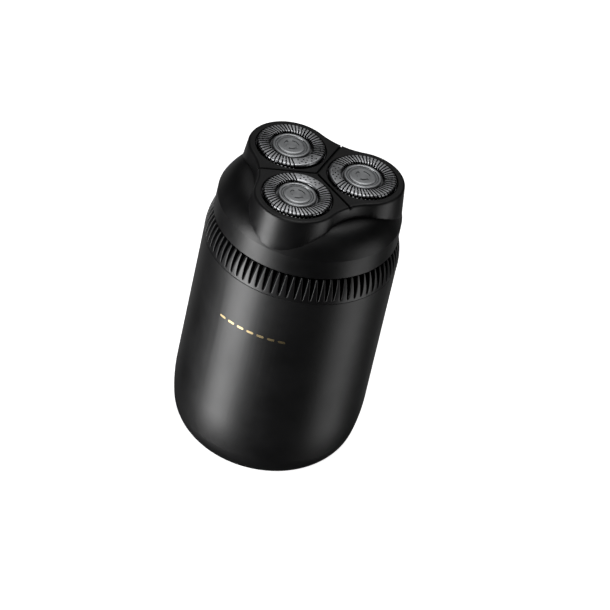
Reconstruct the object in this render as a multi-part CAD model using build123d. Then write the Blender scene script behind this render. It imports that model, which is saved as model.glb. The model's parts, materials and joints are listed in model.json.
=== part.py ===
"""Pocket rotary shaver with three floating shaving heads on a capsule body.

Row frame: +Z up along the body's axis, origin on the foot pad's underside, -Y is the front.
All sizes are in millimetres. Each function below makes one physical piece, or one group of
identical pieces, and save() writes it to parts/NODE.step.
"""

from build123d import *
from math import acos, asin, atan2, cos, degrees, pi, radians, sin, sqrt, tan
import os

os.makedirs("parts", exist_ok=True)

# ---------------------------------------------------------------- driving dimensions
BODY_R = 30.0            # capsule body
BODY_WALL = 2.2
SEAM_Z = 75.0            # body shell's rim, where the grip ring starts
FOOT_PROUD = 0.4         # foot pad below the shell
BASE_SWEEP_R = 60.0      # long arc that starts the rounded base
BASE_SWEEP_DEG = 11.3
BASE_CORNER_R = 13.0     # short arc that ends on the flat base
ACCENT_Z = 59.0          # metal dashes on the front
ACCENT_COUNT = 7
ACCENT_PITCH_DEG = 6.5
ACCENT_DASH = (2.3, 0.8)

RING_TOP_Z = 83.1        # grip ring
RING_R = 30.05
RING_TOP_R = 28.35
RING_BORE_R = 26.0
FLUTES = 78
FLUTE_Z0 = 76.0          # where the flutes run out, above a plain band

COLLAR_Z = 83.4          # head chamber's lower rim
COLLAR_R = 28.5
COLLAR_EDGE_Z = 90.2     # crease between collar and shoulder
COLLAR_EDGE_R = 28.4
SHOULDER_BEND = (25.0, 98.2)
SHOULDER_TOP = (16.0, 97.2)
SHELL_WALL = 1.6

HEAD_PITCH_R = 14.0      # shaver axis to each shaving head's axis
HEAD_NAMES = {"front": -90.0, "right": 30.0, "left": 150.0}
NOTCH_DEG = [-30.0, 90.0, 210.0]
LOBE_R = 13.15           # trefoil cover's outline at its top
WAIST_ARC_R = 21.0       # concave arcs between the lobes
FACE_Z = 101.7           # trefoil cover's top face
COVER_WALL = 1.2
COVER_TOP_T = 1.6
COVER_FLARE = 0.10       # outward draft of its wall, mm per mm of drop
CAP_HOLE_R = 10.85
GROOVE_W = 0.56          # Y groove between the lobes

CAP_R = 10.45            # shaving cap
CAP_TOP_Z = 102.6
CAP_INNER_R = 6.45
CAP_WALL = 0.4
CAP_SLOTS = 51           # slot positions in a full turn
CAP_PLAIN_SLOTS = 8      # of them replaced by the drilled sector
SLOT_W = 0.48
SLOT_SLANT = 13.0
DRILLED_ROWS = ((9.35, 4), (8.5, 3), (7.7, 4))    # radius and number of small holes
DRILLED_STEP_DEG = 13.0
DISC_R = 5.95
CUTTER_BLADES = 15
TILT_Z = 99.15           # height of a cap's tilt axis

GEAR_MODULE = 0.5
SUN_TEETH = 18
PLANET_TEETH = 38
GEAR_Z0 = 83.8
GEAR_Z1 = 86.3

DECK_R = 25.8
DECK_FLOOR = (80.0, 81.6)
DECK_RIM_Z = 86.6
GEARBOX_BASE = (82.2, 83.4)
GEARBOX_COVER = (86.9, 88.1)
BOX_POST_R = 21.5        # gearbox screws' pitch radius

MOTOR_R = 12.2
MOTOR_Z = (53.0, 78.5)
SHAFT_R = 1.0
CELL_R = 9.2
CELL_Z = (13.0, 48.0)
MOTOR_FLOOR_Z = 49.2     # divider between battery and motor

BOARD_Y = (21.5, 22.5)   # circuit board's two faces
BOARD_Z = (16.0, 66.0)
BOARD_SCREW_X = 9.5
BOARD_SCREW_Z = (19.0, 63.0)
BUTTON_Z = 52.0
BUTTON_R = 5.8
PORT_Z = 25.0

RUN = 0.06               # running clearance of a shaft in its hole
GAP = 0.1                # gap between fixed neighbours
EPS = 0.5                # overshoot of a cutting tool

LOW = (Align.CENTER, Align.CENTER, Align.MIN)


# ---------------------------------------------------------------- small helpers
def save(shape, name):
    """Writes one node."""
    export_step(shape, f"parts/{name}.step")


def disc(r, z0, z1):
    """Solid cylinder about the shaver's axis."""
    return Pos(0, 0, z0) * Cylinder(r, z1 - z0, align=LOW)


def ring(r_out, r_in, z0, z1):
    return disc(r_out, z0, z1) - disc(r_in, z0 - EPS, z1 + EPS)


def block(x0, x1, y0, y1, z0, z1):
    size = Box(x1 - x0, y1 - y0, z1 - z0)
    return Pos((x0 + x1) / 2, (y0 + y1) / 2, (z0 + z1) / 2) * size


def turned(*edges):
    """Revolves a closed profile, drawn in the XZ plane, about Z."""
    return revolve(make_face(Curve() + list(edges)), Axis.Z)


def turned_points(points):
    return turned(Polyline(*[(r, 0, z) for r, z in points], close=True))


def polar(r, deg):
    return r * cos(radians(deg)), r * sin(radians(deg))


def at(r, deg, shape):
    """Moves a shape that stands on the axis out to radius r and azimuth deg, turned with it."""
    return Rot(0, 0, deg) * (Pos(r, 0, 0) * shape)


def spread(shape, r, degs):
    """Copies of a shape on a pitch circle, as one group of separate solids."""
    return Compound([at(r, d, shape) for d in degs])


def prism(n, across_flats, z0, z1):
    """Regular prism about the axis."""
    flat = RegularPolygon(across_flats / 2, n, major_radius=False)
    return Pos(0, 0, z0) * extrude(flat, z1 - z0)


def along_y(shape, x, y, z):
    """Turns a shape built up along Z so that it points along +Y, at (x, y, z)."""
    return Pos(x, y, z) * Rot(-90, 0, 0) * shape


def screw(head_r, head_h, shank_r, length):
    """Pan-head screw, standing on its head, with a cross recess; its shank points up."""
    head = Cylinder(head_r, head_h, align=LOW)
    head = chamfer(head.edges().group_by(Axis.Z)[0], head_h * 0.3)
    slot = Box(head_r * 1.1, head_r * 0.28, head_h * 0.5, align=LOW)
    head = head - slot - Rot(0, 0, 90) * slot
    shank = Pos(0, 0, head_h) * Cylinder(shank_r, length - head_h, align=LOW)
    return head + chamfer(shank.edges().group_by(Axis.Z)[-1], shank_r * 0.4)


# ---------------------------------------------------------------- profiles
def capsule_profile(inset, top_z):
    """Outer (inset 0) or inner section of the body shell, as edges from axis to rim and back."""
    corner_r = BASE_CORNER_R - inset
    sweep_r = BASE_SWEEP_R - inset
    tilt = radians(BASE_SWEEP_DEG)
    corner_z = FOOT_PROUD + BASE_CORNER_R
    corner_x = BODY_R - BASE_SWEEP_R + (BASE_SWEEP_R - BASE_CORNER_R) * cos(tilt)
    sweep_z = corner_z + (BASE_SWEEP_R - BASE_CORNER_R) * sin(tilt)

    def corner(a):
        return corner_x + corner_r * cos(a), 0, corner_z - corner_r * sin(a)

    def sweep(a):
        return BODY_R - BASE_SWEEP_R + sweep_r * cos(a), 0, sweep_z - sweep_r * sin(a)

    floor_z = FOOT_PROUD + inset
    return [
        Line((0, 0, floor_z), (corner_x, 0, floor_z)),
        ThreePointArc(corner(pi / 2), corner((pi / 2 + tilt) / 2), corner(tilt)),
        ThreePointArc(sweep(tilt), sweep(tilt / 2), sweep(0)),
        Line(sweep(0), (BODY_R - inset, 0, top_z)),
        Line((BODY_R - inset, 0, top_z), (0, 0, top_z)),
        Line((0, 0, top_z), (0, 0, floor_z)),
    ]


def shoulder_solid(rise=0.0, inset=0.0, floor_z=COLLAR_Z):
    """Solid collar and domed shoulder of the head, grown upward by rise or thinned by inset."""
    edge = (COLLAR_EDGE_R - inset, 0, COLLAR_EDGE_Z + rise)
    bend = (SHOULDER_BEND[0] - inset * 0.75, 0, SHOULDER_BEND[1] + rise - inset * 0.9)
    top = (SHOULDER_TOP[0], 0, SHOULDER_TOP[1] + rise - inset)
    return turned(
        Line((0, 0, floor_z), (COLLAR_R - inset, 0, floor_z)),
        Line((COLLAR_R - inset, 0, floor_z), edge),
        Bezier(edge, bend, top),
        Line(top, (0, 0, top[2])),
        Line((0, 0, top[2]), (0, 0, floor_z)),
    )


def trefoil(grow=0.0):
    """Three lobes joined by tangent concave arcs, offset outward by grow (inward if negative)."""
    lobe_r = LOBE_R + grow
    waist_r = WAIST_ARC_R - grow
    reach = LOBE_R + WAIST_ARC_R
    waist_x = HEAD_PITCH_R * cos(pi / 3) + sqrt(reach**2 - (HEAD_PITCH_R * sin(pi / 3)) ** 2)
    edges = []
    for deg in HEAD_NAMES.values():
        lobe = Vector(*polar(HEAD_PITCH_R, deg))
        before = Vector(*polar(waist_x, deg - 60))
        after = Vector(*polar(waist_x, deg + 60))
        following = Vector(*polar(HEAD_PITCH_R, deg + 120))
        start = lobe + (before - lobe).normalized() * lobe_r
        end = lobe + (after - lobe).normalized() * lobe_r
        edges.append(ThreePointArc(start, polar(HEAD_PITCH_R + lobe_r, deg), end))
        leave = following + (after - following).normalized() * lobe_r
        edges.append(ThreePointArc(end, polar(waist_x - waist_r, deg + 60), leave))
    return make_face(Curve() + edges)


def trefoil_prism(grow, z0, z1):
    return Pos(0, 0, z0) * extrude(trefoil(grow), z1 - z0)


# ---------------------------------------------------------------- body
def make_body_shell():
    """Capsule-shaped cup with the foot recess, the port and the button's hole."""
    shell = turned(*capsule_profile(0, SEAM_Z)) - turned(*capsule_profile(BODY_WALL, SEAM_Z + EPS))
    shell = chamfer(shell.edges().group_by(Axis.Z)[-1].sort_by(SortBy.LENGTH)[-1], 0.12)
    shell += disc(4.2, 2.4, 5.0)
    shell -= disc(13.1, 0, 1.3)
    shell -= disc(2.5, 0, 2.9)
    shell -= disc(1.3, 0, 6.0)
    shell -= along_y(Cylinder(7.2, 12, align=LOW), 0, 20, BUTTON_Z)
    shell -= accent_dashes(ACCENT_DASH[0] + 0.04, ACCENT_DASH[1] + 0.04, BODY_R + 1, BODY_R - 0.27)
    return shell - port_slot(9.7, 3.9, 20, 32)


def port_slot(width, height, y0, y1):
    """Round-ended slot through the back wall, width along X."""
    face = SlotOverall(width, height)
    return along_y(extrude(face, y1 - y0), 0, y0, PORT_Z)


def accent_dashes(width, height, r_out, r_in):
    """Row of round-ended dashes round the front of the body, cut to a thin shell."""
    dash = Rot(0, 90, 0) * Rot(0, 0, 90) * extrude(SlotOverall(width, height), 4.0)
    middle = (ACCENT_COUNT - 1) / 2
    degs = [-90 + (i - middle) * ACCENT_PITCH_DEG for i in range(ACCENT_COUNT)]
    band = ring(r_out, r_in, ACCENT_Z - 3, ACCENT_Z + 3)
    return [(at(BODY_R - 2.0, deg, Pos(0, 0, ACCENT_Z) * dash) & band).solid() for deg in degs]


def make_accent():
    """Metal inlay: a plain row of dashes."""
    return Compound(accent_dashes(ACCENT_DASH[0], ACCENT_DASH[1], BODY_R + 0.03, BODY_R - 0.25))


def make_foot_pad():
    pad = disc(13.0, 0, 1.25)
    pad = chamfer(pad.edges().group_by(Axis.Z)[0], 0.25)
    for r in (5.0, 8.0, 11.0):
        pad -= ring(r + 0.4, r - 0.4, -EPS, 0.3)
    return pad


def ring_envelope(z0, z1):
    """Outer body of the grip ring: a short straight band, then an arc that leans in."""
    band_z = SEAM_Z + 0.6
    rise = z1 - band_z
    fall = RING_R - RING_TOP_R
    lean = 2 * atan2(fall, rise)
    arc_r = rise / sin(lean)
    middle = (RING_R - arc_r * (1 - cos(lean / 2)), 0, band_z + arc_r * sin(lean / 2))
    return turned(
        Line((0, 0, z0), (RING_R, 0, z0)),
        Line((RING_R, 0, z0), (RING_R, 0, band_z)),
        ThreePointArc((RING_R, 0, band_z), middle, (RING_TOP_R, 0, z1)),
        Line((RING_TOP_R, 0, z1), (0, 0, z1)),
        Line((0, 0, z1), (0, 0, z0)),
    )


def make_grip_ring():
    """Fluted ring that closes the body: V flutes that deepen and widen towards its top."""
    body = ring_envelope(SEAM_Z + GAP, RING_TOP_Z)
    body = chamfer(body.edges().group_by(Axis.Z)[0], 0.12)
    body += disc(BODY_R - BODY_WALL - 0.15, 71.0, SEAM_Z + GAP)
    body -= disc(RING_BORE_R, 76.0, RING_TOP_Z + EPS)
    body -= disc(24.5, 70.0, 77.0)
    body -= ring(BODY_R, 26.9, 72.2, 73.6)
    pitch_deg = 360 / FLUTES
    low = Pos(0, 0, FLUTE_Z0) * flute_section(30.4, 29.4, 0.6, 0.4)
    high = Pos(0, 0, RING_TOP_Z + 0.6) * flute_section(30.4, 26.75, 2.3, 1.35)
    cutter = loft([low, high], ruled=True)
    cutters = [Rot(0, 0, i * pitch_deg) * cutter for i in range(FLUTES)]
    return body - cutters


def flute_section(r_out, r_in, w_out, w_in):
    """Trapezoid across a flute, wide at its mouth, pointing out along +X."""
    return make_face(
        Polyline((r_in, -w_in / 2), (r_out, -w_out / 2), (r_out, w_out / 2), (r_in, w_in / 2), close=True)
    )


def make_body_seal():
    """Seal between the grip ring's spigot and the shell, in a groove of the spigot."""
    return ring(BODY_R - BODY_WALL - 0.02, 26.95, 72.25, 73.55)


def make_deck():
    """Cup that closes the body under the head: its wall is the spigot that the head slides over."""
    deck = disc(DECK_R, 77.6, DECK_RIM_Z)
    deck = chamfer(deck.edges().group_by(Axis.Z)[-1], 0.5)
    deck -= disc(DECK_R - 1.4, DECK_FLOOR[1], DECK_RIM_Z + EPS)
    deck -= disc(DECK_R - 1.4, 77.0, DECK_FLOOR[0])
    deck += spread(disc(2.3, 77.6, DECK_FLOOR[0]), 21.0, NOTCH_DEG)
    deck += disc(4.6, 79.0, DECK_FLOOR[0])
    deck -= disc(3.2, 80.2, DECK_FLOOR[1] + EPS)
    deck -= disc(1.6, 78.0, 81.0)
    deck -= spread(disc(2.05, 80.3, DECK_FLOOR[1] + EPS), 21.0, magnet_degs())
    deck -= spread(disc(0.92, 77.0, 79.6), 21.0, NOTCH_DEG)
    return deck - ring(DECK_R + EPS, DECK_R - 0.9, 84.4, 85.6)


def magnet_degs():
    return [deg + 22.0 for deg in NOTCH_DEG]


def make_deck_seal():
    """O-ring on the deck's spigot."""
    return Pos(0, 0, 85.0) * Torus(DECK_R - 0.38, 0.48)


def make_deck_magnets():
    return spread(disc(2.0, 80.35, 81.55), 21.0, magnet_degs())


def make_deck_screws():
    """Three screws up through the chassis flange into the deck's bosses."""
    return spread(Pos(0, 0, 74.7) * screw(1.8, 1.3, 0.9, 4.7), 21.0, NOTCH_DEG)


def make_shaft_seal():
    """Lip seal in the deck round the motor shaft."""
    seal = disc(3.15, 80.25, 81.5)
    seal -= disc(SHAFT_R + RUN, 80.0, 82.0)
    return seal - ring(2.5, 1.6, 80.9, 82.0)


def make_chassis():
    """Inner frame: battery tube, motor tube, top flange and two shelves for the circuit board."""
    frame = disc(CELL_R + 1.8, 10.0, MOTOR_FLOOR_Z)
    frame += disc(4.2, 5.1, 10.0)
    frame += disc(MOTOR_R + 1.8, 46.0, 77.5)
    frame += disc(25.5, 76.1, 77.5)
    for z in BOARD_SCREW_Z:
        frame += block(-12.0, 12.0, 0.0, BOARD_Y[0] - GAP, z - 2.0, z + 2.0)
    frame -= disc(CELL_R + 0.2, CELL_Z[0] - 0.4, CELL_Z[1] + 0.2)
    frame -= disc(MOTOR_R + 0.15, MOTOR_FLOOR_Z, 78.0)
    for deg in (0, 90, 180, 270):
        frame -= Rot(0, 0, deg) * block(5.0, 18.0, -3.5, 3.5, 22.0, 42.0)
    for deg in (30, 150, 270):
        frame -= Rot(0, 0, deg) * block(11.0, 18.0, -4.0, 4.0, 54.0, 72.0)
    frame -= spread(disc(0.95, 75.0, 78.0), 21.0, NOTCH_DEG)
    for x in (-BOARD_SCREW_X, BOARD_SCREW_X):
        for z in BOARD_SCREW_Z:
            frame -= along_y(Cylinder(0.77, 6.0, align=LOW), x, BOARD_Y[0] - 5.2, z)
    return frame - disc(1.22, 5.0, 9.8)


def make_base_screw():
    """Screw under the foot pad that pulls the shell up against the grip ring."""
    return Pos(0, 0, 1.4) * screw(2.3, 1.4, 1.2, 8.0)


def make_battery_cell():
    """Rechargeable cell with its raised positive cap."""
    cell = disc(CELL_R, CELL_Z[0], CELL_Z[1] - 1.2)
    cell = fillet(cell.edges(), 0.6)
    cell += disc(4.0, CELL_Z[1] - 1.4, CELL_Z[1] - 0.3)
    return cell - ring(CELL_R + EPS, CELL_R - 0.25, 44.2, 44.9)


def make_motor_can():
    """Drawn steel can with its front bearing boss and two vents."""
    can = disc(MOTOR_R, *MOTOR_Z)
    can = fillet(can.edges().group_by(Axis.Z)[-1], 1.0)
    can += disc(3.0, MOTOR_Z[1], MOTOR_Z[1] + 0.45)
    can -= disc(MOTOR_R - 0.6, MOTOR_Z[0] - EPS, MOTOR_Z[1] - 0.8)
    can -= disc(SHAFT_R + RUN, MOTOR_Z[1] - 1.5, MOTOR_Z[1] + 1.0)
    return can - spread(disc(1.6, MOTOR_Z[1] - 1.5, MOTOR_Z[1] + 1.0), 7.5, (0, 180))


def make_motor_end_bell():
    """Moulded rear cap with the rear bearing and two terminals."""
    bell = disc(MOTOR_R - 0.05, 50.4, MOTOR_Z[0] - 0.02) + disc(MOTOR_R - 0.7, 52.0, 55.0)
    bell -= disc(SHAFT_R + RUN, 51.0, 56.0)
    for x in (-6.0, 6.0):
        bell += block(x - 1.2, x + 1.2, -0.25, 0.25, 49.4, 50.6)
    return bell


def make_motor_magnets():
    """Two arc magnets inside the can."""
    arc = ring(MOTOR_R - 0.65, MOTOR_R - 2.6, 57.0, 75.0)
    gap = block(-3.0, 3.0, -20, 20, 50, 80)
    return Compound((arc - gap).solids())


def make_rotor_core():
    """Laminated three-pole armature on the shaft."""
    core = disc(MOTOR_R - 3.0, 60.0, 73.0) - disc(SHAFT_R, 59.0, 74.0)
    for deg in (30, 150, 270):
        core -= Rot(0, 0, deg) * block(4.0, 12.0, -1.0, 1.0, 59.0, 74.0)
        core -= Rot(0, 0, deg) * block(4.0, 7.6, -2.6, 2.6, 59.0, 74.0)
    return core


def make_motor_shaft():
    shaft = disc(SHAFT_R, 51.2, 84.6)
    return chamfer(shaft.edges().group_by(Axis.Z)[-1], 0.25)


def make_drive_dog():
    """Hexagonal driver pressed on the motor shaft; it engages the head's sun gear."""
    dog = prism(6, 4.2, 82.0, 84.9)
    dog = chamfer(dog.edges().group_by(Axis.Z)[-1], 0.35)
    return dog - disc(SHAFT_R, 81.0, 84.6)


# ---------------------------------------------------------------- electronics, button, port
def make_circuit_board():
    board = block(-12.0, 12.0, *BOARD_Y, *BOARD_Z)
    board = fillet(board.edges().filter_by(Axis.Y), 1.5)
    for x in (-BOARD_SCREW_X, BOARD_SCREW_X):
        for z in BOARD_SCREW_Z:
            board -= along_y(Cylinder(0.95, 4, align=LOW), x, BOARD_Y[0] - 1, z)
    return board


def make_board_screws():
    """Four screws through the board into the chassis shelves, heads outward."""
    one = Rot(90, 0, 0) * screw(1.6, 0.9, 0.75, 5.2)
    y = BOARD_Y[1] + 0.95
    screws = []
    for x in (-BOARD_SCREW_X, BOARD_SCREW_X):
        for z in BOARD_SCREW_Z:
            screws.append(Pos(x, y, z) * one)
    return Compound(screws)


def make_board_parts():
    """Push switch, charging chip, controller, inductor, capacitors and two indicator diodes."""
    outer, inner = BOARD_Y[1], BOARD_Y[0]
    switch = block(-2.6, 2.6, outer, outer + 0.9, BUTTON_Z - 2.6, BUTTON_Z + 2.6)
    switch += along_y(Cylinder(1.6, 0.55, align=LOW), 0, outer + 0.9, BUTTON_Z)
    parts = [switch]
    parts.append(block(-8.5, -4.5, outer, outer + 1.0, 33.0, 37.0))
    parts.append(block(3.5, 8.5, outer, outer + 1.2, 34.0, 39.0))
    parts.append(block(-3.0, 3.0, inner - 2.6, inner, 52.5, 58.0))
    for x in (-8.0, -4.0, 0.0, 4.0):
        parts.append(block(x, x + 1.6, outer, outer + 0.8, 42.0, 42.9))
    for x in (-6.6, 6.6):
        parts.append(block(x - 0.8, x + 0.8, outer, outer + 0.7, BUTTON_Z - 0.4, BUTTON_Z + 0.4))
    return Compound(parts)


def button_envelope(inset):
    """Cylinder that trims a piece to the body's outer surface."""
    return disc(BODY_R - inset, BUTTON_Z - 12, BUTTON_Z + 12)


def make_power_button():
    """Round button with a dished face, a flange that keeps it in and a nib over the switch."""
    stem = along_y(Cylinder(BUTTON_R, 5.2, align=LOW), 0, 25.4, BUTTON_Z)
    stem &= button_envelope(0.12)
    stem -= Pos(0, 29.55 + 24.0, BUTTON_Z) * Sphere(24.0)
    flange = along_y(Cylinder(BUTTON_R + 0.7, 0.7, align=LOW), 0, 25.2, BUTTON_Z)
    nib = along_y(Cylinder(1.2, 0.7, align=LOW), 0, 24.6, BUTTON_Z)
    return stem + flange + nib


def make_light_ring():
    """Translucent ring round the button that shows charge and power."""
    guide = along_y(Cylinder(7.1, 6.0, align=LOW), 0, 26.1, BUTTON_Z)
    guide &= button_envelope(0.05)
    guide += along_y(Cylinder(8.0, 0.4, align=LOW), 0, 26.1, BUTTON_Z)
    return guide - along_y(Cylinder(BUTTON_R + 0.18, 12, align=LOW), 0, 20, BUTTON_Z)


def make_button_seal():
    """Rubber membrane with a thick rim, between the button and its switch."""
    seal = along_y(Cylinder(8.2, 1.9, align=LOW), 0, 24.1, BUTTON_Z)
    return seal - along_y(Cylinder(7.5, 4, align=LOW), 0, 24.5, BUTTON_Z)


def make_usb_socket():
    """USB-C receptacle: round-ended metal sleeve with its contact tongue."""
    sleeve = port_slot(8.94, 3.26, BOARD_Y[1], 29.0) - port_slot(8.34, 2.66, 24.0, 30.0)
    tongue = block(-3.3, 3.3, 23.9, 28.4, PORT_Z - 0.35, PORT_Z + 0.35)
    return sleeve + tongue


def make_usb_gasket():
    """Silicone collar that seals the socket in the shell."""
    collar = port_slot(9.6, 3.8, 26.6, 31.0) & disc(BODY_R - 0.25, PORT_Z - 5, PORT_Z + 5)
    return collar - port_slot(9.0, 3.32, 25.0, 32.0)


# ---------------------------------------------------------------- head: chamber and gearbox
def make_chamber_shell():
    """Hair chamber: collar and domed shoulder, open under the trefoil cover."""
    shell = shoulder_solid()
    shell = chamfer(shell.edges().group_by(Axis.Z)[0], 0.4)
    hollow = shoulder_solid(inset=SHELL_WALL, floor_z=COLLAR_Z - EPS) & disc(40, 89.0, 99.0)
    shell -= hollow
    shell -= disc(26.0, COLLAR_Z - EPS, 88.2)
    shell -= disc(25.2, 87.0, 90.0)
    shell += spread(disc(2.2, 88.2, 94.6), BOX_POST_R, NOTCH_DEG)
    shell -= trefoil_prism(-COVER_WALL - 0.05, 88.0, 99.0)
    return shell - spread(disc(0.92, 87.0, 92.6), BOX_POST_R, NOTCH_DEG)


def make_gearbox_base():
    """Lower gear plate with three screw posts, axle holes and magnet pockets."""
    plate = disc(24.0, *GEARBOX_BASE)
    plate += spread(disc(2.3, GEARBOX_BASE[1] - 0.1, GEARBOX_COVER[0] - 0.05), BOX_POST_R, NOTCH_DEG)
    plate -= disc(3.4, 82.0, 84.0)
    plate -= spread(disc(1.5 + RUN, 82.0, 84.0), HEAD_PITCH_R, HEAD_NAMES.values())
    plate -= spread(disc(2.05, 82.0, 83.15), 21.0, magnet_degs())
    plate -= spread(disc(2.0, 82.0, 83.3), BOX_POST_R, NOTCH_DEG)
    return plate - spread(disc(0.95, 82.0, 88.0), BOX_POST_R, NOTCH_DEG)


def make_head_magnets():
    return spread(disc(2.0, 82.25, 83.1), 21.0, magnet_degs())


def make_gearbox_cover():
    """Upper gear plate, the floor of the hair chamber, with a raised lip round each sleeve."""
    plate = disc(25.9, *GEARBOX_COVER)
    plate += spread(disc(4.0, 88.0, 88.9), HEAD_PITCH_R, HEAD_NAMES.values())
    plate -= spread(disc(2.6 + RUN, 86.0, 90.0), HEAD_PITCH_R, HEAD_NAMES.values())
    plate -= disc(1.0 + RUN, 86.0, 87.7)
    return plate - spread(disc(0.95, 86.0, 89.0), BOX_POST_R, NOTCH_DEG)


def make_gearbox_screws():
    """Three screws through both gear plates into the chamber's posts."""
    return spread(Pos(0, 0, 82.3) * screw(1.8, 0.95, 0.9, 10.0), BOX_POST_R, NOTCH_DEG)


def gear_outline(teeth, tooth_deg):
    """Spur gear outline with involute flanks; one tooth is centred at tooth_deg."""
    pitch_r = GEAR_MODULE * teeth / 2
    base_r = pitch_r * cos(radians(20))
    tip_r = pitch_r + GEAR_MODULE
    root_r = pitch_r - 1.25 * GEAR_MODULE
    backlash = 0.10
    involute_pitch = tan(radians(20)) - radians(20)
    half_pitch = pi / (2 * teeth) - backlash / (2 * pitch_r)

    def half_angle(r):
        if r <= base_r:
            return half_pitch + involute_pitch
        roll = acos(base_r / r)
        return half_pitch + involute_pitch - (tan(roll) - roll)

    radii = [root_r, max(base_r, root_r + 0.1), pitch_r, tip_r]
    points = []
    for i in range(teeth):
        centre = radians(tooth_deg) + 2 * pi * i / teeth
        flank = [(r, half_angle(r)) for r in radii]
        for r, a in flank:
            points.append((r * cos(centre - a), r * sin(centre - a)))
        for r, a in reversed(flank):
            points.append((r * cos(centre + a), r * sin(centre + a)))
    return make_face(Polyline(*points, close=True))


def make_sun_gear():
    """Input gear with a hexagonal socket for the motor's dog and a stub on top."""
    gear = Pos(0, 0, GEAR_Z0) * extrude(gear_outline(SUN_TEETH, HEAD_NAMES["right"]), GEAR_Z1 - GEAR_Z0)
    gear += disc(3.4 - RUN, 82.1, GEAR_Z0)
    gear += disc(1.0, GEAR_Z1, 87.5)
    return gear - prism(6, 4.6, 81.5, 85.2)


def make_planet_gear():
    """Gear of one shaving head, with its lower stub and the sleeve that drives the spindle."""
    gap_deg = 180.0 + 180.0 / PLANET_TEETH
    gear = Pos(0, 0, GEAR_Z0) * extrude(gear_outline(PLANET_TEETH, gap_deg), GEAR_Z1 - GEAR_Z0)
    for side in range(6):
        hole = disc(1.5, GEAR_Z0 - EPS, GEAR_Z1 + EPS)
        gear -= at(5.8, side * 60, hole)
    gear += disc(1.5, 82.5, GEAR_Z0)
    gear += disc(2.6, GEAR_Z1, 91.0)
    return gear - prism(6, 3.0, 84.8, 92.0)


def make_spindle():
    """Sprung drive pin: hexagonal foot in the gear's sleeve, hexagonal tip in the cutter's hub."""
    pin = prism(6, 2.8, 88.7, 91.6)
    pin += disc(1.0, 91.5, 96.2)
    tip = prism(6, 2.4, 96.1, 98.15)
    return pin + chamfer(tip.edges().group_by(Axis.Z)[-1], 0.4)


def make_spindle_spring():
    """Compression spring under the spindle, inside the gear's sleeve."""
    height, coil_r, wire_r = 3.3, 0.98, 0.16
    path = Helix(pitch=0.66, height=height, radius=coil_r)
    start = Plane(origin=path @ 0, z_dir=path % 0)
    coil = sweep(start * Circle(wire_r), path=path, is_frenet=True)
    return Pos(0, 0, 85.1) * coil


# ---------------------------------------------------------------- head: trefoil cover
def make_trefoil_cover():
    """Three-lobed cover whose flared skirt follows the shoulder, with a Y of grooves on its face."""
    drop = FACE_Z - COLLAR_EDGE_Z
    low = Pos(0, 0, COLLAR_EDGE_Z) * trefoil(drop * COVER_FLARE)
    high = Pos(0, 0, FACE_Z) * trefoil()
    cover = loft([low, high], ruled=True)
    cover = fillet(cover.edges().group_by(Axis.Z)[-1], 0.9)
    cover -= trefoil_prism(-COVER_WALL, 80.0, FACE_Z - COVER_TOP_T)
    cover += disc(2.1, 95.5, FACE_Z - 0.5)
    cover -= shoulder_solid(rise=0.12, floor_z=80.0) - trefoil_prism(-COVER_WALL - 0.1, 79.0, 99.0)
    hole = disc(CAP_HOLE_R, 95.0, FACE_Z + EPS)
    hole += Pos(0, 0, FACE_Z - 0.25) * Cone(CAP_HOLE_R, CAP_HOLE_R + 0.5, 0.5, align=LOW)
    cover -= spread(hole, HEAD_PITCH_R, HEAD_NAMES.values())
    for deg in NOTCH_DEG:
        arm = block(0, 22.0, -GROOVE_W / 2, GROOVE_W / 2, FACE_Z - 1.0, FACE_Z + EPS)
        arm += Pos(11.0, 0, FACE_Z) * Rot(45, 0, 0) * Box(22.0, GROOVE_W + 0.04, GROOVE_W + 0.04)
        cover -= Rot(0, 0, deg) * arm
    return cover - disc(0.85, 95.0, 99.6)


def make_retainer_frame():
    """Frame under the shaving heads that holds them in the cover and locates it in the chamber."""
    frame = trefoil_prism(-COVER_WALL - 0.3, 93.4, 95.4)
    frame -= spread(disc(9.6, 93.0, 96.0), HEAD_PITCH_R, HEAD_NAMES.values())
    frame -= disc(0.95, 93.0, 96.0)
    return frame


def make_retainer_screw():
    return Pos(0, 0, 92.4) * screw(1.9, 1.0, 0.83, 6.8)


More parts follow.
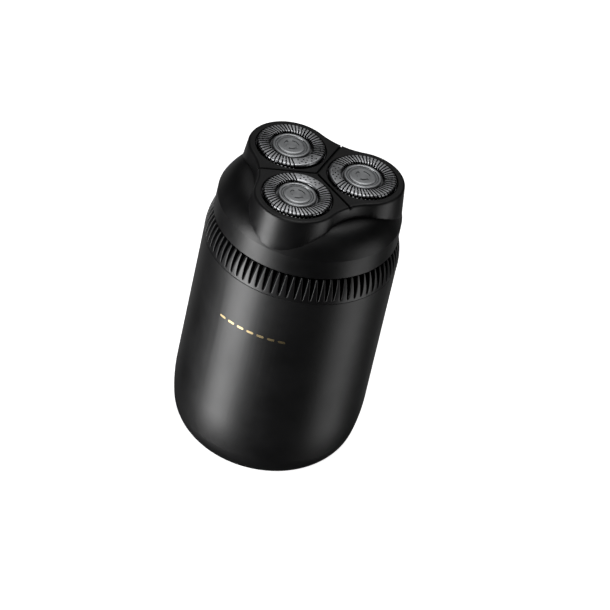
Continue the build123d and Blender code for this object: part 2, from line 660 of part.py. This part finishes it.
# ---------------------------------------------------------------- head: one shaving head, about its own axis
def make_cap_ring(centre_deg):
    """Slotted outer cutter: slotted track, drilled sector at centre_deg, flange and two pivots."""
    top, inner = CAP_TOP_Z, CAP_INNER_R
    middle = (CAP_R + inner) / 2
    outline = [
        Polyline((inner, 0, top - 0.6), (inner, 0, 101.0), (0, 0, 101.0), (0, 0, 100.6), (CAP_R, 0, 100.6)),
        Polyline((CAP_R, 0, 100.6), (CAP_R, 0, top - 0.7)),
        ThreePointArc((CAP_R, 0, top - 0.7), (CAP_R - 0.25, 0, top - 0.22), (CAP_R - 0.8, 0, top - 0.03)),
        ThreePointArc((CAP_R - 0.8, 0, top - 0.03), (middle, 0, top), (inner + 0.7, 0, top - 0.03)),
        ThreePointArc((inner + 0.7, 0, top - 0.03), (inner + 0.22, 0, top - 0.2), (inner, 0, top - 0.6)),
    ]
    cap = turned(*outline)
    cap += ring(11.2, CAP_R - 1.0, 98.9, 99.4)
    cap += ring(CAP_R, CAP_R - 1.0, 99.0, 101.0)
    cap -= ring(CAP_R - CAP_WALL, inner + CAP_WALL, 100.0, top - CAP_WALL)
    cap -= ring(CAP_R - CAP_WALL, CAP_R - 1.5, 98.0, 101.0)
    pitch = 360 / CAP_SLOTS
    slot = Pos(8.5, 0, 0) * Rot(0, 0, SLOT_SLANT) * Box(4.9, SLOT_W, 2.6)
    slots = []
    for i in range(CAP_SLOTS - CAP_PLAIN_SLOTS):
        deg = centre_deg + (i + (CAP_PLAIN_SLOTS + 1) / 2) * pitch
        slots.append(Rot(0, 0, deg) * (Pos(0, 0, top) * slot))
    cap -= slots
    for r, count in DRILLED_ROWS:
        for i in range(count):
            deg = centre_deg + (i - (count - 1) / 2) * DRILLED_STEP_DEG
            cap -= at(r, deg, disc(0.27, 101.8, top + EPS))
    for side in (90, 270):
        cap += Rot(0, 0, side) * (Pos(10.9, 0, TILT_Z) * Rot(0, 90, 0) * Cylinder(0.38, 0.82, align=LOW))
    return cap


def make_cap_disc():
    """Polished centre disc of the cap: raised rim, groove, and three concentric arc recesses."""
    z = CAP_TOP_Z - 0.2
    plate = turned(
        Polyline((0, 0, z - 0.04), (0, 0, 101.0), (DISC_R, 0, 101.0), (DISC_R, 0, z - 0.25)),
        ThreePointArc((DISC_R, 0, z - 0.25), (DISC_R - 0.5, 0, z), (DISC_R - 1.1, 0, z - 0.1)),
        Polyline((DISC_R - 1.1, 0, z - 0.1), (4.7, 0, z - 0.4), (4.35, 0, z - 0.4), (4.15, 0, z - 0.16)),
        Line((4.15, 0, z - 0.16), (3.6, 0, z - 0.04)),
        Line((3.6, 0, z - 0.04), (0, 0, z - 0.04)),
    )
    for deg in (0, 120, 240):
        arc = ring(2.35, 1.65, z - 0.3, z + EPS)
        corners = [(0, 0), polar(4, deg), polar(4.6, deg + 40), polar(4, deg + 80)]
        wedge = extrude(make_face(Polyline(*corners, close=True)), 9)
        plate -= arc & (Pos(0, 0, z - 4) * wedge)
    return plate


def make_cap_carrier():
    """Floating ring under the cap; its two ears hold the cap's pivots."""
    carrier = ring(11.6, 9.0, 96.9, 98.0)
    for side in (90, 270):
        ear = block(11.32, 11.77, -1.2, 1.2, 96.9, 99.95)
        ear = fillet(ear.edges().filter_by(Axis.X).group_by(Axis.Z)[-1], 0.5)
        ear -= Pos(11.0, 0, TILT_Z) * Rot(0, 90, 0) * Cylinder(0.38 + RUN, 1.5, align=LOW)
        carrier += Rot(0, 0, side) * ear
    return carrier


def make_cutter():
    """Rotary inner cutter: steel disc with a ring of raked upright blades."""
    plate = ring(9.75, 2.0, 98.9, 99.4)
    plate -= spread(disc(1.25, 98.0, 100.0), 4.9, range(0, 360, 60))
    blade = Box(2.5, 0.45, 2.75, align=LOW)
    blade = Pos(8.48, 0, 99.3) * Rot(0, 0, -12) * Rot(18, 0, 0) * blade
    blade &= disc(9.75, 99.0, 102.05) - disc(7.1, 98.0, 103.0)
    for i in range(CUTTER_BLADES):
        plate += Rot(0, 0, i * 360 / CUTTER_BLADES) * blade
    return plate


def make_cutter_hub():
    """Moulded hub under the cutter, with the socket for the spindle's tip."""
    hub = disc(2.7, 95.7, 98.9) + disc(1.95, 98.8, 99.7)
    return hub - prism(6, 3.2, 95.0, 98.3)


# ---------------------------------------------------------------- the assembly
def main():
    save(make_body_shell(), "body_shell")
    save(make_accent(), "accent_dashes")
    save(make_foot_pad(), "foot_pad")
    save(make_grip_ring(), "grip_ring")
    save(make_body_seal(), "body_seal")
    save(make_deck(), "deck")
    save(make_deck_seal(), "deck_seal")
    save(make_deck_magnets(), "deck_magnets")
    save(make_deck_screws(), "deck_screws")
    save(make_shaft_seal(), "shaft_seal")
    save(make_chassis(), "chassis")
    save(make_base_screw(), "base_screw")
    save(make_battery_cell(), "battery_cell")
    save(make_motor_can(), "motor_can")
    save(make_motor_end_bell(), "motor_end_bell")
    save(make_motor_magnets(), "motor_magnets")
    save(make_rotor_core(), "rotor_core")
    save(make_motor_shaft(), "motor_shaft")
    save(make_drive_dog(), "drive_dog")
    save(make_circuit_board(), "circuit_board")
    save(make_board_parts(), "board_parts")
    save(make_board_screws(), "board_screws")
    save(make_power_button(), "power_button")
    save(make_light_ring(), "light_ring")
    save(make_button_seal(), "button_seal")
    save(make_usb_socket(), "usb_socket")
    save(make_usb_gasket(), "usb_gasket")
    save(make_chamber_shell(), "chamber_shell")
    save(make_gearbox_base(), "gearbox_base")
    save(make_head_magnets(), "head_magnets")
    save(make_gearbox_cover(), "gearbox_cover")
    save(make_gearbox_screws(), "gearbox_screws")
    save(make_sun_gear(), "sun_gear")
    save(make_trefoil_cover(), "trefoil_cover")
    save(make_retainer_frame(), "retainer_frame")
    save(make_retainer_screw(), "retainer_screw")

    cap_ring = make_cap_ring(180.0)
    cap_disc = make_cap_disc()
    carrier = make_cap_carrier()
    cutter = make_cutter()
    hub = make_cutter_hub()
    planet_gear = make_planet_gear()
    spindle = make_spindle()
    spring = make_spindle_spring()
    for name, deg in HEAD_NAMES.items():
        save(at(HEAD_PITCH_R, deg, cap_ring), f"{name}_cap_ring")
        save(at(HEAD_PITCH_R, deg, cap_disc), f"{name}_cap_disc")
        save(at(HEAD_PITCH_R, deg, carrier), f"{name}_carrier")
        save(at(HEAD_PITCH_R, deg, cutter), f"{name}_cutter")
        save(at(HEAD_PITCH_R, deg, hub), f"{name}_cutter_hub")
        save(at(HEAD_PITCH_R, deg, planet_gear), f"{name}_gear")
        save(at(HEAD_PITCH_R, deg, spindle), f"{name}_spindle")
        save(at(HEAD_PITCH_R, deg, spring), f"{name}_spring")


main()
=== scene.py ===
import json
import math

import bmesh
import bpy
from mathutils import Matrix, Vector


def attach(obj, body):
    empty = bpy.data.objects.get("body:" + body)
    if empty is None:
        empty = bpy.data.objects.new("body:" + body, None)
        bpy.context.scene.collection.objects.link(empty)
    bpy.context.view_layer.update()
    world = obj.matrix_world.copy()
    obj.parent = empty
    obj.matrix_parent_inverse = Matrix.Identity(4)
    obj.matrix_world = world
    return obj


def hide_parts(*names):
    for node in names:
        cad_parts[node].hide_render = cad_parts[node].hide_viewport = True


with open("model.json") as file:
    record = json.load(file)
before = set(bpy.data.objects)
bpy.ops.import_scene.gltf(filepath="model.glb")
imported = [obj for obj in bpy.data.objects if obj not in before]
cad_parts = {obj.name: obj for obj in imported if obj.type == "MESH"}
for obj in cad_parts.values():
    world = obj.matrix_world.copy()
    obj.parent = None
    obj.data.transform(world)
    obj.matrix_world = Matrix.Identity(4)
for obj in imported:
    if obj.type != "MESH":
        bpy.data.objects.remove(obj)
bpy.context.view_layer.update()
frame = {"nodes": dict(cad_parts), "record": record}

MM = 0.001
AXES = {"front": -90.0, "right": 30.0, "left": 150.0}   # azimuth of each shaving head, degrees
HEAD_PITCH = 14.0 * MM


# ---------------------------------------------------------------- camera
def make_camera(azimuth, elevation, roll, distance, lens, target, slide):
    """Camera on a sphere round target; slide moves the aim along the level right and up axes."""
    a, e, r = (math.radians(v) for v in (azimuth, elevation, roll))
    back = Vector((math.sin(a) * math.cos(e), -math.cos(a) * math.cos(e), math.sin(e)))
    right = Vector((math.cos(a), math.sin(a), 0.0))
    up = Vector((-math.sin(a) * math.sin(e), math.cos(a) * math.sin(e), math.cos(e)))
    aim = Vector(target) + right * slide[0] + up * slide[1]
    x_axis = right * math.cos(r) + up * math.sin(r)
    y_axis = up * math.cos(r) - right * math.sin(r)
    camera = bpy.data.objects.new("camera", bpy.data.cameras.new("camera"))
    bpy.context.scene.collection.objects.link(camera)
    turn = Matrix((x_axis, y_axis, back)).transposed()
    camera.matrix_world = Matrix.Translation(aim + back * distance) @ turn.to_4x4()
    camera.data.lens = lens
    camera.data.sensor_width = 36.0
    camera.data.clip_start = 0.05
    camera.data.clip_end = 20.0
    bpy.context.scene.camera = camera


VIEW_AZIMUTH = 17.47
make_camera(VIEW_AZIMUTH, 37.84, 12.97, 1.41926, 274.96, (0.0, 0.0, 0.075), (0.00540, -0.01842))


# ---------------------------------------------------------------- materials
class Nodes:
    """Short names for building a node tree round one Principled shader.

    Takes the name of a new material, or a material that is to get more nodes.
    """

    def __init__(self, material):
        if isinstance(material, str):
            material = bpy.data.materials.new(material)
            material.use_nodes = True
        self.material = material
        self.tree = material.node_tree
        self.shader = self.tree.nodes["Principled BSDF"]

    def add(self, kind, **inputs):
        node = self.tree.nodes.new(kind)
        for key, value in inputs.items():
            if key in node.inputs:
                node.inputs[key].default_value = value
            else:
                setattr(node, key, value)
        return node

    def link(self, out, to):
        self.tree.links.new(out, to)

    def math(self, operation, a, b=None):
        node = self.add("ShaderNodeMath", operation=operation)
        for socket, value in zip(node.inputs, (a, b)):
            if isinstance(value, (int, float)):
                socket.default_value = value
            elif value is not None:
                self.link(value, socket)
        return node.outputs[0]

    def position(self):
        return self.add("ShaderNodeTexCoord").outputs["Object"]

    def split(self, vector):
        node = self.add("ShaderNodeSeparateXYZ")
        self.link(vector, node.inputs[0])
        return node.outputs

    def length(self, x, y):
        return self.math("SQRT", self.math("ADD", self.math("MULTIPLY", x, x), self.math("MULTIPLY", y, y)))

    def noise(self, scale, detail=3.0, vector=None, rough=0.5):
        node = self.add("ShaderNodeTexNoise", Scale=scale, Detail=detail, Roughness=rough)
        self.link(vector or self.position(), node.inputs["Vector"])
        return node.outputs["Fac"]

    def spread(self, value, low, high, start=0.3, end=0.7):
        """Maps a value's range start..end onto low..high."""
        node = self.add("ShaderNodeMapRange")
        self.link(value, node.inputs["Value"])
        limits = {"From Min": start, "From Max": end, "To Min": low, "To Max": high}
        for key, number in limits.items():
            node.inputs[key].default_value = number
        return node.outputs["Result"]

    def mix(self, factor, a, b):
        """Blends two colours; sockets 6, 7 and 2 are the node's colour inputs and colour result."""
        node = self.add("ShaderNodeMix", data_type="RGBA")
        self.link(factor, node.inputs["Factor"])
        node.inputs[6].default_value = (*a, 1.0)
        node.inputs[7].default_value = (*b, 1.0)
        return node.outputs[2]

    def bump(self, height, distance, strength=1.0):
        node = self.add("ShaderNodeBump", Strength=strength, Distance=distance)
        self.link(height, node.inputs["Height"])
        self.link(node.outputs["Normal"], self.shader.inputs["Normal"])

    def set(self, **values):
        for key, value in values.items():
            self.shader.inputs[key.replace("_", " ")].default_value = value


def moulded(
    name, colour, rough, grain=9000.0, depth=0.004, spread=0.05, metallic=0.0, lift=1.35, **extra
):
    """Moulded or coated surface: fine spark-eroded grain, cloudy gloss and faint handling marks."""
    n = Nodes(name)
    n.set(Metallic=metallic, **extra)
    cloud = n.noise(90.0, 4.0)
    smear = n.noise(340.0, 2.0)
    darker = tuple(c / lift for c in colour)
    brighter = tuple(min(c * lift, 1.0) for c in colour)
    n.link(n.mix(n.spread(cloud, 0.0, 1.0), darker, brighter), n.shader.inputs["Base Color"])
    both = n.math("ADD", n.math("MULTIPLY", cloud, 0.65), n.math("MULTIPLY", smear, 0.35))
    n.link(n.spread(both, rough - spread, rough + spread), n.shader.inputs["Roughness"])
    n.bump(n.noise(grain, 2.0), depth * MM)
    return n.material


def turned_steel(name, colour, rough, centre, streak, wall_shade, tracks=5200.0, depth=0.0015):
    """Steel with fine concentric tracks round a vertical axis, and painted shade on its upright faces.

    The tracks stretch highlights outwards by streak; the upright faces, such as the slot walls, are
    darkened by the given factor as painted shade.
    """
    n = Nodes(name)
    n.set(Metallic=1.0, Anisotropic=streak, Anisotropic_Rotation=0.25)
    tangent = n.add("ShaderNodeTangent", direction_type="RADIAL", axis="Z")
    n.link(tangent.outputs[0], n.shader.inputs["Tangent"])
    offset = n.add("ShaderNodeVectorMath", operation="SUBTRACT")
    n.link(n.position(), offset.inputs[0])
    offset.inputs[1].default_value = (centre[0], centre[1], 0.0)
    x, y, z = n.split(offset.outputs[0])
    polar = n.add("ShaderNodeCombineXYZ")
    n.link(n.length(x, y), polar.inputs["X"])
    n.link(n.math("MULTIPLY", z, 0.35), polar.inputs["Z"])
    lines = n.noise(tracks, 2.0, polar.outputs[0])
    cloud = n.noise(420.0, 3.0)
    facing = n.split(n.add("ShaderNodeTexCoord").outputs["Normal"])
    # painted shade: faces that stand upright, such as slot walls, go darker, down to the colour times the
    # wall factor
    unshaded_top = n.spread(facing["Z"], 0.0, 1.0, 0.25, 0.75)
    shade = n.math("MULTIPLY", unshaded_top, n.spread(cloud, 0.8, 1.0))
    n.link(n.mix(shade, tuple(c * wall_shade for c in colour), colour), n.shader.inputs["Base Color"])
    both = n.math("ADD", n.math("MULTIPLY", lines, 0.6), n.math("MULTIPLY", cloud, 0.4))
    n.link(n.spread(both, rough - 0.08, rough + 0.08), n.shader.inputs["Roughness"])
    n.bump(lines, depth * MM)
    return n.material


def layered(name, colours, scale, rough, metallic=0.0):
    """Stack of thin horizontal layers, such as laminations or a printed wrap."""
    n = Nodes(name)
    n.set(Metallic=metallic)
    wave = n.add("ShaderNodeTexWave", bands_direction="Z", Scale=scale, Distortion=0.4)
    n.link(n.position(), wave.inputs["Vector"])
    n.link(n.mix(wave.outputs["Fac"], colours[0], colours[1]), n.shader.inputs["Base Color"])
    n.link(n.spread(n.noise(300.0), rough - 0.06, rough + 0.06), n.shader.inputs["Roughness"])
    n.bump(wave.outputs["Fac"], 0.01 * MM)
    return n.material


# Grip ring, in mm: band and top heights, crest radius at the band and at the top
RING_BAND_Z, RING_TOP_Z = 75.6, 83.1
RING_R, RING_TOP_R = 30.05, 28.35


def fluted(name, colour, rough):
    """Moulded ring whose reflection is turned down with depth in the flutes, as painted shade that keeps
    the flutes dark.
    """
    n = Nodes(moulded(name, colour, rough, depth=0.002))
    x, y, z = n.split(n.position())
    rise = n.spread(z, 0.0, 1.0, RING_BAND_Z * MM, RING_TOP_Z * MM)
    lean = n.math("MULTIPLY", n.math("MULTIPLY", rise, rise), (RING_R - RING_TOP_R) * MM)
    sunk = n.math("SUBTRACT", RING_R * MM, n.math("ADD", n.length(x, y), lean))
    # painted shade: reflection fades from 0.5 on the crests to 0.06 deep down in the flutes
    n.link(n.spread(sunk, 0.5, 0.06, 0.08 * MM, 0.6 * MM), n.shader.inputs["Specular IOR Level"])
    return n.material


BLACK = (0.003, 0.003, 0.0033)
finishes = {
    "black_body": moulded("satin_black_body", BLACK, 0.41, depth=0.003, spread=0.03),
    "black_head": moulded("satin_black_head", BLACK, 0.40, depth=0.002, Specular_IOR_Level=0.38),
    "black_trim": fluted("semi_gloss_black_trim", BLACK, 0.36),
    "black_inner": moulded("moulded_black_inner", (0.012, 0.012, 0.012), 0.55, grain=5000.0),
    "gold": moulded(
        "gold_inlay", (0.42, 0.33, 0.18), 0.42, grain=6000.0, depth=0.002, metallic=1.0, lift=1.12
    ),
    "black_rubber": moulded("black_rubber", (0.018, 0.018, 0.018), 0.72, grain=4200.0, depth=0.012),
    "silicone": moulded("grey_silicone", (0.22, 0.22, 0.23), 0.55, grain=4200.0, depth=0.006, lift=1.1),
    "magnet": moulded("nickel_magnet", (0.62, 0.61, 0.59), 0.18, metallic=1.0, lift=1.06),
    "steel": moulded("zinc_plated_steel", (0.52, 0.52, 0.53), 0.32, grain=5000.0, metallic=1.0, lift=1.12),
    "grey_nylon": moulded(
        "glass_filled_nylon", (0.055, 0.055, 0.06), 0.5, grain=3600.0, depth=0.01, lift=1.25
    ),
    "white_nylon": moulded("natural_acetal", (0.70, 0.69, 0.64), 0.35, grain=5200.0, lift=1.05),
    "cell_wrap": moulded("cell_shrink_wrap", (0.05, 0.16, 0.30), 0.28, grain=2500.0, depth=0.01, lift=1.12),
    "zinc_can": moulded("zinc_motor_can", (0.55, 0.56, 0.57), 0.30, grain=3000.0, metallic=1.0, lift=1.12),
    "ferrite": moulded("sintered_ferrite", (0.03, 0.03, 0.03), 0.6, grain=3800.0, depth=0.02),
    "laminations": layered("stacked_laminations", ((0.34, 0.27, 0.2), (0.12, 0.1, 0.08)), 350.0, 0.42, 0.8),
    "board": moulded("solder_resist", (0.012, 0.09, 0.04), 0.34, grain=2600.0, depth=0.006),
    "chips": moulded("epoxy_package", (0.02, 0.02, 0.022), 0.48, grain=5200.0, depth=0.006),
    "light_guide": moulded(
        "light_guide", (0.55, 0.57, 0.58), 0.32, lift=1.06, Subsurface_Weight=0.25, Subsurface_Scale=0.002
    ),
    "nickel": moulded("nickel_shell", (0.60, 0.59, 0.56), 0.24, metallic=1.0, lift=1.08),
}
# painted shade: the cutters under the caps get a near-black steel colour in place of the shade they sit in
finishes["dark_steel"] = moulded("cutter_in_shade", (0.05, 0.05, 0.055), 0.4, metallic=1.0)

CAP_STEEL, DISC_STEEL = (0.66, 0.67, 0.69), (0.41, 0.42, 0.43)
steel_finishes = {}    # by shaving head and slot, since the tracks run round each head's own axis
for head, azimuth in AXES.items():
    angle = math.radians(azimuth)
    centre = (HEAD_PITCH * math.cos(angle), HEAD_PITCH * math.sin(angle))
    steel_finishes[head, "cutter_steel"] = turned_steel(
        f"{head}_cutter_steel", CAP_STEEL, 0.31, centre, streak=0.72, wall_shade=0.03
    )
    steel_finishes[head, "disc_steel"] = turned_steel(
        f"{head}_disc_steel", DISC_STEEL, 0.40, centre, streak=0.25, wall_shade=0.6
    )

slot_of = {part["node"]: part["material_slot"] for part in frame["record"]["subparts"]}


def finish_of(node):
    """Material of a CAD node: the cutters get a painted shade colour under their caps, the rest go by slot.
    """
    if node.endswith("_cutter"):
        return finishes["dark_steel"]
    head = node.split("_")[0]
    return steel_finishes.get((head, slot_of[node])) or finishes[slot_of[node]]


for node, obj in frame["nodes"].items():
    obj.data.materials.clear()
    obj.data.materials.append(finish_of(node))


# ---------------------------------------------------------------- grip ring
FLUTES = 78
FLUTE_Z0 = 76.0                        # where the flutes start
FLUTE_END_H = 0.7                      # height over which a flute's rounded lower end opens
MOUTH_LOW, MOUTH_GROWTH = 0.26, 0.62   # half width of a flute at its foot, and its gain to the top
DEPTH_LOW, DEPTH_GROWTH = 0.45, 1.25   # depth in the same way
FLOOR_SHARE = 0.55                     # width of a flute's floor over its mouth
LIP_R = 0.16                           # rounding between a crest and a flute
FOOT_Z, FOOT_CHAMFER = 75.1, 0.1       # ring's lower edge at the seam
END_STEPS, RISE_STEPS, LIP_STEPS = 6, 14, 3
RING_INSIDE = ((26.0, RING_TOP_Z), (26.0, 76.0), (24.5, 76.0), (24.5, 71.0), (27.65, 71.0), (27.65, FOOT_Z))


def ring_radius(z):
    """Outer radius of the ring's crests: straight up to the band's top, then an arc leaning in."""
    lean = 2.0 * math.atan2(RING_R - RING_TOP_R, RING_TOP_Z - RING_BAND_Z)
    arc = (RING_TOP_Z - RING_BAND_Z) / math.sin(lean)
    rise = max(z - RING_BAND_Z, 0.0)
    return RING_R - arc + math.sqrt(arc * arc - rise * rise)


def flute_row(z):
    """Points across one pitch at height z, as (offset along the rim, radius), slot in the middle."""
    crest = ring_radius(z)
    along = min(max((z - FLUTE_Z0) / (RING_TOP_Z - FLUTE_Z0), 0.0), 1.0)
    start = min(max((z - FLUTE_Z0) / FLUTE_END_H, 0.0), 1.0)
    opening = math.sqrt(1.0 - (1.0 - start) ** 2)
    mouth = (MOUTH_LOW + MOUTH_GROWTH * along) * opening
    floor = mouth * FLOOR_SHARE
    depth = (DEPTH_LOW + DEPTH_GROWTH * along) * opening
    lip = LIP_R * opening
    half = math.pi * crest / FLUTES
    side = [(half, crest), ((half + mouth + lip) / 2, crest)]
    for step in range(LIP_STEPS + 1):
        turn = math.radians(90.0 * step / LIP_STEPS)
        side.append((mouth + lip * (1.0 - math.sin(turn)), crest - lip * (1.0 - math.cos(turn))))
    side.append(((mouth + floor) / 2, crest - lip - (depth - lip) * 0.55))
    side.append((floor, crest - depth * 0.93))
    side.append((floor * 0.5, crest - depth))
    return [(-x, r) for x, r in side] + [(x, r) for x, r in reversed(side[1:])]


def make_grip_ring():
    """Ring with rounded flutes: loops of points from the foot to the top, then down the inside."""
    flute_mid = FLUTE_Z0 + FLUTE_END_H
    heights = [FOOT_Z, FOOT_Z + FOOT_CHAMFER, RING_BAND_Z, FLUTE_Z0]
    heights += [FLUTE_Z0 + FLUTE_END_H * k / END_STEPS for k in range(1, END_STEPS + 1)]
    heights += [flute_mid + (RING_TOP_Z - flute_mid) * k / RISE_STEPS for k in range(1, RISE_STEPS + 1)]
    mesh = bmesh.new()
    loops = []
    for level, z in enumerate(heights):
        row = flute_row(z)
        shrink = FOOT_CHAMFER if level == 0 else 0.0
        loop = []
        for flute in range(FLUTES):
            for x, r in row:
                angle = 2.0 * math.pi * flute / FLUTES + x / ring_radius(z)
                r = r - shrink
                loop.append(mesh.verts.new((r * math.cos(angle) * MM, r * math.sin(angle) * MM, z * MM)))
        loops.append(loop)
    for r, z in RING_INSIDE:
        loop = []
        for vert in loops[-1]:
            angle = math.atan2(vert.co.y, vert.co.x)
            loop.append(mesh.verts.new((r * math.cos(angle) * MM, r * math.sin(angle) * MM, z * MM)))
        loops.append(loop)
    count = len(loops[0])
    for low, high in zip(loops, loops[1:] + loops[:1]):
        for k in range(count):
            mesh.faces.new((low[k], low[(k + 1) % count], high[(k + 1) % count], high[k]))
    bmesh.ops.recalc_face_normals(mesh, faces=mesh.faces)
    return new_piece("fluted_ring", mesh, "body", "black_trim", "grip_ring")


def new_piece(name, mesh, body, slot, *replaced, smooth=38.0):
    """Turns a bmesh into a piece that rides on a body and stands for CAD nodes."""
    data = bpy.data.meshes.new(name)
    mesh.to_mesh(data)
    mesh.free()
    data.polygons.foreach_set("use_smooth", [True] * len(data.polygons))
    data.set_sharp_from_angle(angle=math.radians(smooth))
    data.materials.append(finishes[slot])
    piece = bpy.data.objects.new(name, data)
    bpy.context.scene.collection.objects.link(piece)
    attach(piece, body)
    if replaced:
        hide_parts(*replaced)
    return piece


make_grip_ring()


# ---------------------------------------------------------------- rounded edges on the CAD pieces
def soften(node, width, angle=35.0):
    """Rounds a piece's sharp edges by width in mm, so that they catch the light."""
    obj = frame["nodes"][node]
    weld = obj.modifiers.new("weld", "WELD")
    weld.merge_threshold = 0.002 * MM
    bevel = obj.modifiers.new("edge", "BEVEL")
    bevel.width = width * MM
    bevel.segments = 2
    bevel.limit_method = "ANGLE"
    bevel.angle_limit = math.radians(angle)
    bevel.harden_normals = True


soften("trefoil_cover", 0.20)


# ---------------------------------------------------------------- floor and light
def make_floor():
    """White floor that the camera sees, but that doesn't show up in the object's reflections."""
    bpy.ops.mesh.primitive_plane_add(size=8.0, location=(0.0, 0.0, -0.1 * MM))
    floor = bpy.context.object
    floor.name = "floor"
    n = Nodes("pale_floor")
    n.set(Base_Color=(0.9, 0.9, 0.9, 1.0), Roughness=0.9, Specular_IOR_Level=0.0)
    n.set(Emission_Color=(1.0, 1.0, 1.0, 1.0), Emission_Strength=0.95)
    floor.data.materials.append(n.material)
    floor.visible_glossy = False
    floor.visible_diffuse = False
    floor.visible_shadow = False


def softbox(name, azimuth, elevation, distance, width, height, radiance, aim_z=0.055):
    """Rectangular soft light that faces the object; azimuth is measured from the camera's side."""
    a, e = math.radians(VIEW_AZIMUTH + azimuth), math.radians(elevation)
    back = Vector((math.sin(a) * math.cos(e), -math.cos(a) * math.cos(e), math.sin(e)))
    data = bpy.data.lights.new(name, "AREA")
    data.shape = "RECTANGLE"
    data.size, data.size_y = width, height
    data.energy = radiance * math.pi * width * height
    light = bpy.data.objects.new(name, data)
    bpy.context.scene.collection.objects.link(light)
    light.location = Vector((0.0, 0.0, aim_z)) + back * distance
    light.rotation_mode = "QUATERNION"
    light.rotation_quaternion = back.to_track_quat("Z", "Y")
    light.visible_camera = False


def make_light():
    """Two upright softboxes at the sides, soft light from above and a faint fill from behind."""
    softbox("key_left", -52.0, -10.0, 0.45, 0.22, 0.60, 9.6)
    softbox("fill_right", 79.0, -10.0, 0.45, 0.24, 0.60, 1.75)
    softbox("top_back", 180.0, 58.0, 0.80, 0.70, 0.44, 0.74)
    softbox("top_streak", 180.0, 74.0, 0.80, 0.30, 0.20, 4.0)
    softbox("overhead", -10.0, 72.0, 0.80, 0.50, 0.40, 0.9)
    softbox("front_high", -15.0, 47.0, 0.80, 0.22, 0.16, 1.6)
    softbox("back_left", -150.0, -18.0, 0.60, 0.35, 0.50, 0.25)
    softbox("back_right", 150.0, -18.0, 0.60, 0.25, 0.50, 0.2)
    world = bpy.data.worlds.new("studio")
    bpy.context.scene.world = world
    world.use_nodes = True
    background = world.node_tree.nodes["Background"]
    background.inputs["Color"].default_value = (1.0, 1.0, 1.0, 1.0)
    background.inputs["Strength"].default_value = 0.01


make_floor()
make_light()
bpy.context.scene.view_settings.view_transform = "Standard"
bpy.context.scene.view_settings.look = "None"
